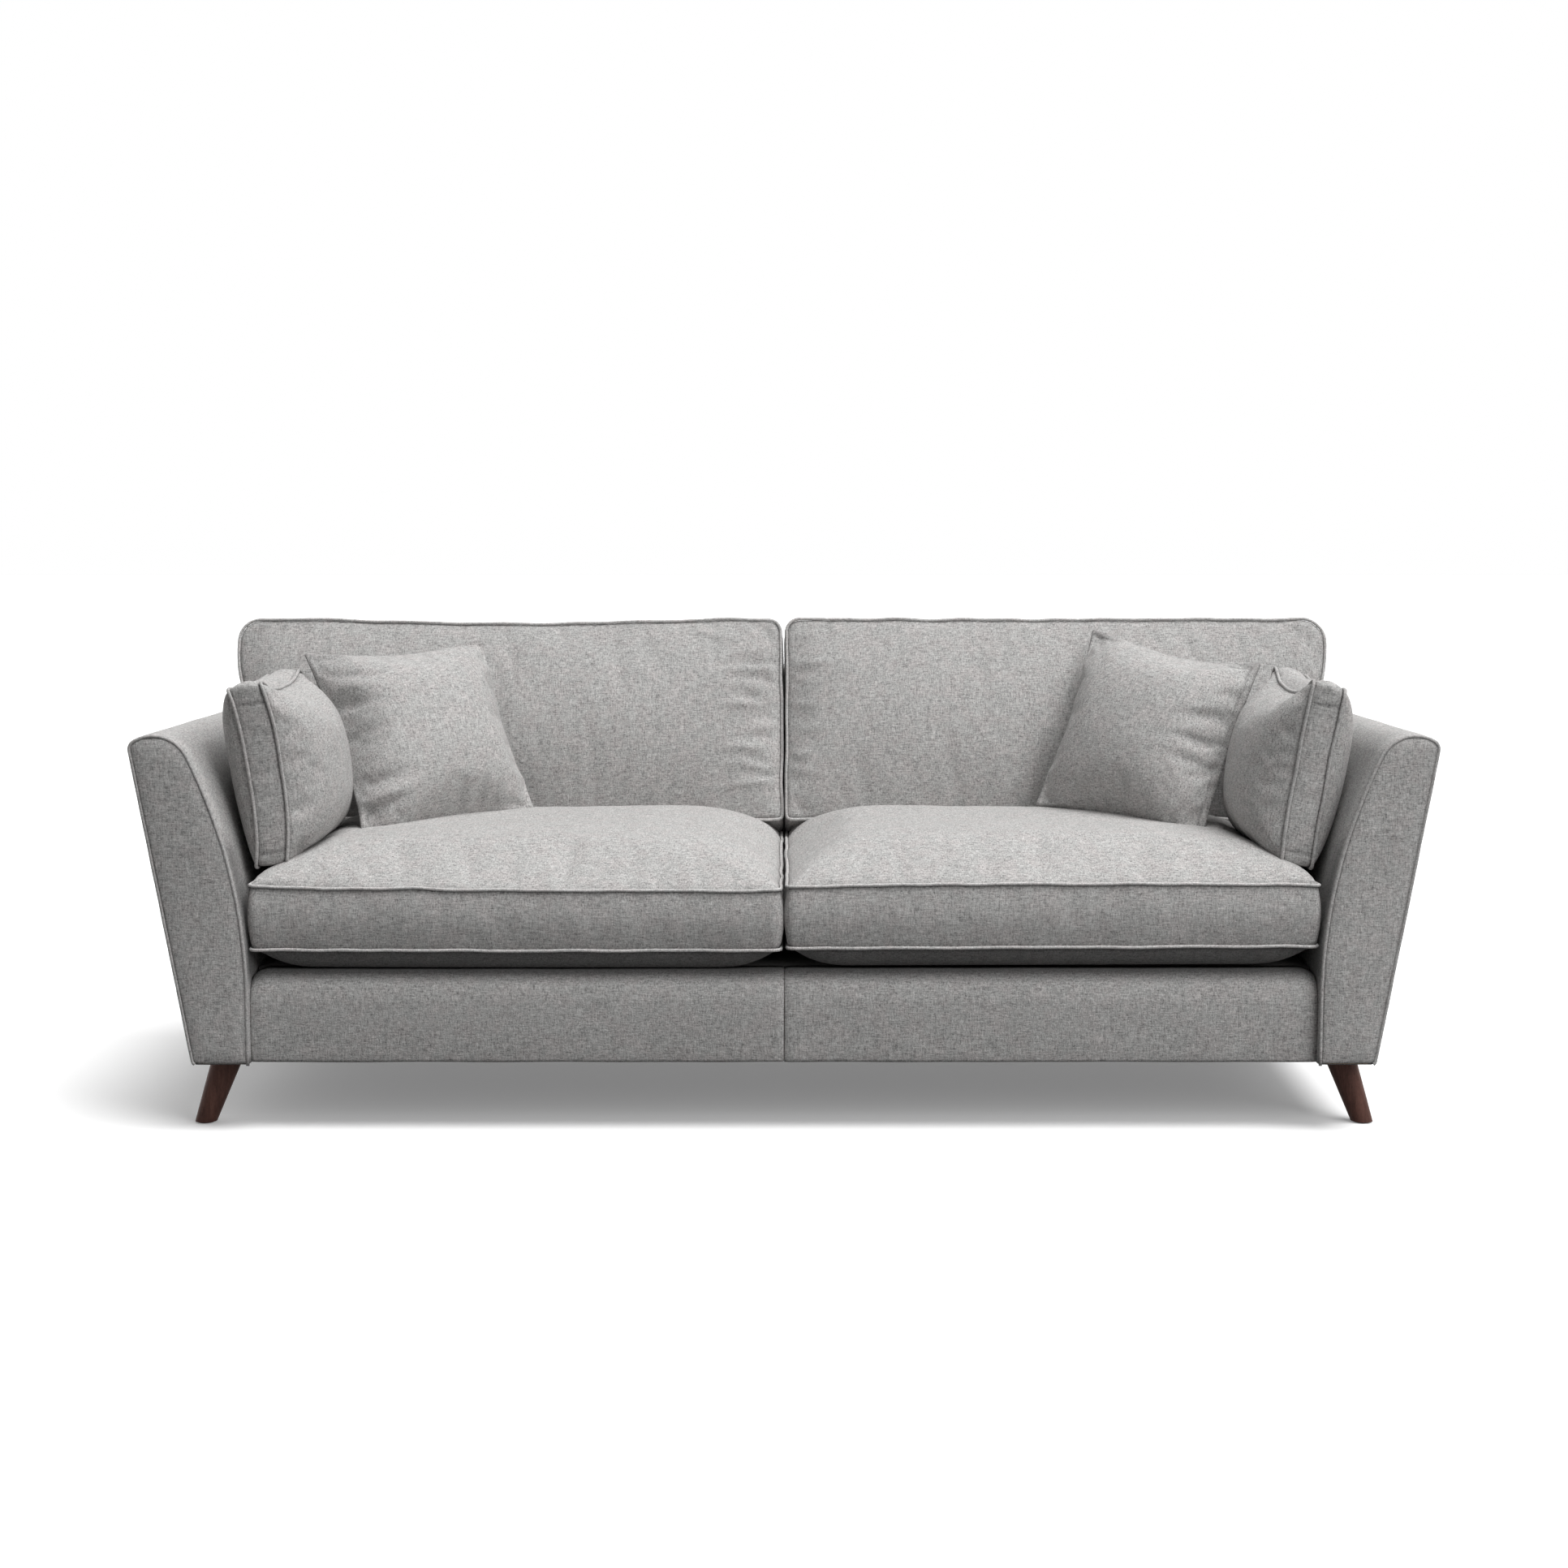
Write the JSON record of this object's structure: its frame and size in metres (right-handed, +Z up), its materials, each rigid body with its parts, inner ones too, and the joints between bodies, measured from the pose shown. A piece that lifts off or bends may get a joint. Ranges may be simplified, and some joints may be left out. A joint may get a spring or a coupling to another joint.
{
  "type": "sofa",
  "caption": "Upholstered two-seat sofa with flared arms, loose piped box cushions, arm bolsters, scatter cushions and splayed dark wooden legs.",
  "frame": {"origin": "centre of the overall box, on the floor under the feet", "axes": "+X runs along the sofa, the front faces -Y, +Z is up"},
  "size_m": [2.3718, 1, 0.9137],
  "materials": {
    "fabric": "woven melange linen look, matt",
    "piping": "self-fabric piping, matt",
    "leg_wood": "dark walnut stain, satin",
    "timber": "raw plywood and hardwood",
    "steel": "zinc plated",
    "glide": "moulded, matt",
    "black_cloth": "spun-bonded cloth, matt",
    "lining": "cotton lining and elastic strap, matt",
    "foam": "open-cell foam in fibre wrap"
  },
  "bodies": {
    "frame": {"front_rail": "timber", "rear_rail": "timber", "spring_rail": "timber", "side_rail_left": "timber", "side_rail_right": "timber", "centre_joist": "timber", "corner_blocks": "timber", "arm_front_panel_left": "timber", "arm_front_panel_right": "timber", "arm_rear_panel_left": "timber", "arm_rear_panel_right": "timber", "arm_top_rail_left": "timber", "arm_top_rail_right": "timber", "arm_lower_rail_left": "timber", "arm_lower_rail_right": "timber", "arm_bolts": "steel", "back_uprights": "timber", "back_top_rail": "timber", "back_webbing": "lining", "seat_springs": "steel", "spring_clips": "steel", "platform_cloth": "black_cloth", "platform_pad": "lining", "front_border_left": "fabric", "front_border_right": "fabric", "arm_cover_left": "fabric", "arm_cover_right": "fabric", "arm_facing_left": "fabric", "arm_facing_right": "fabric", "arm_piping_left": "piping", "arm_piping_right": "piping", "inside_back_cover": "fabric", "back_band": "fabric", "outer_back_cover": "fabric", "dust_cover": "black_cloth", "leg_front_left": "leg_wood", "leg_front_right": "leg_wood", "leg_rear_left": "leg_wood", "leg_rear_right": "leg_wood", "leg_bolts": "steel", "t_nuts": "steel", "leg_glides": "glide"},
    "seat_left": {"seat_cushion_left": "fabric", "seat_core_left": "foam", "seat_piping_left": "piping"},
    "seat_right": {"seat_cushion_right": "fabric", "seat_core_right": "foam", "seat_piping_right": "piping"},
    "back_left": {"back_cushion_left": "fabric", "back_core_left": "foam", "back_piping_left": "piping"},
    "back_right": {"back_cushion_right": "fabric", "back_core_right": "foam", "back_piping_right": "piping"},
    "bolster_left": {"bolster_cushion_left": "fabric", "bolster_piping_left": "piping"},
    "bolster_right": {"bolster_cushion_right": "fabric", "bolster_piping_right": "piping"},
    "scatter_left": {"scatter_cushion_left": "fabric"},
    "scatter_right": {"scatter_cushion_right": "fabric"}
  },
  "joints": [
    {"name": "seat_left_slide", "type": "slide", "parent": "frame", "child": "seat_left", "axis": [0, -1, 0], "range_m": [0, 0.7]},
    {"name": "back_left_lift", "type": "slide", "parent": "frame", "child": "back_left", "axis": [0, 0.3057, 0.9521], "range_m": [0, 0.45]},
    {"name": "bolster_left_lift", "type": "slide", "parent": "frame", "child": "bolster_left", "axis": [-0.1564, 0, 0.9877], "range_m": [0, 0.4]},
    {"name": "scatter_left_lift", "type": "slide", "parent": "frame", "child": "scatter_left", "axis": [0, 0, 1], "range_m": [0, 0.45]},
    {"name": "seat_right_slide", "type": "slide", "parent": "frame", "child": "seat_right", "axis": [0, -1, 0], "range_m": [0, 0.7]},
    {"name": "back_right_lift", "type": "slide", "parent": "frame", "child": "back_right", "axis": [0, 0.3057, 0.9521], "range_m": [0, 0.45]},
    {"name": "bolster_right_lift", "type": "slide", "parent": "frame", "child": "bolster_right", "axis": [0.1564, 0, 0.9877], "range_m": [0, 0.4]},
    {"name": "scatter_right_lift", "type": "slide", "parent": "frame", "child": "scatter_right", "axis": [0, 0, 1], "range_m": [0, 0.45]}
  ]
}
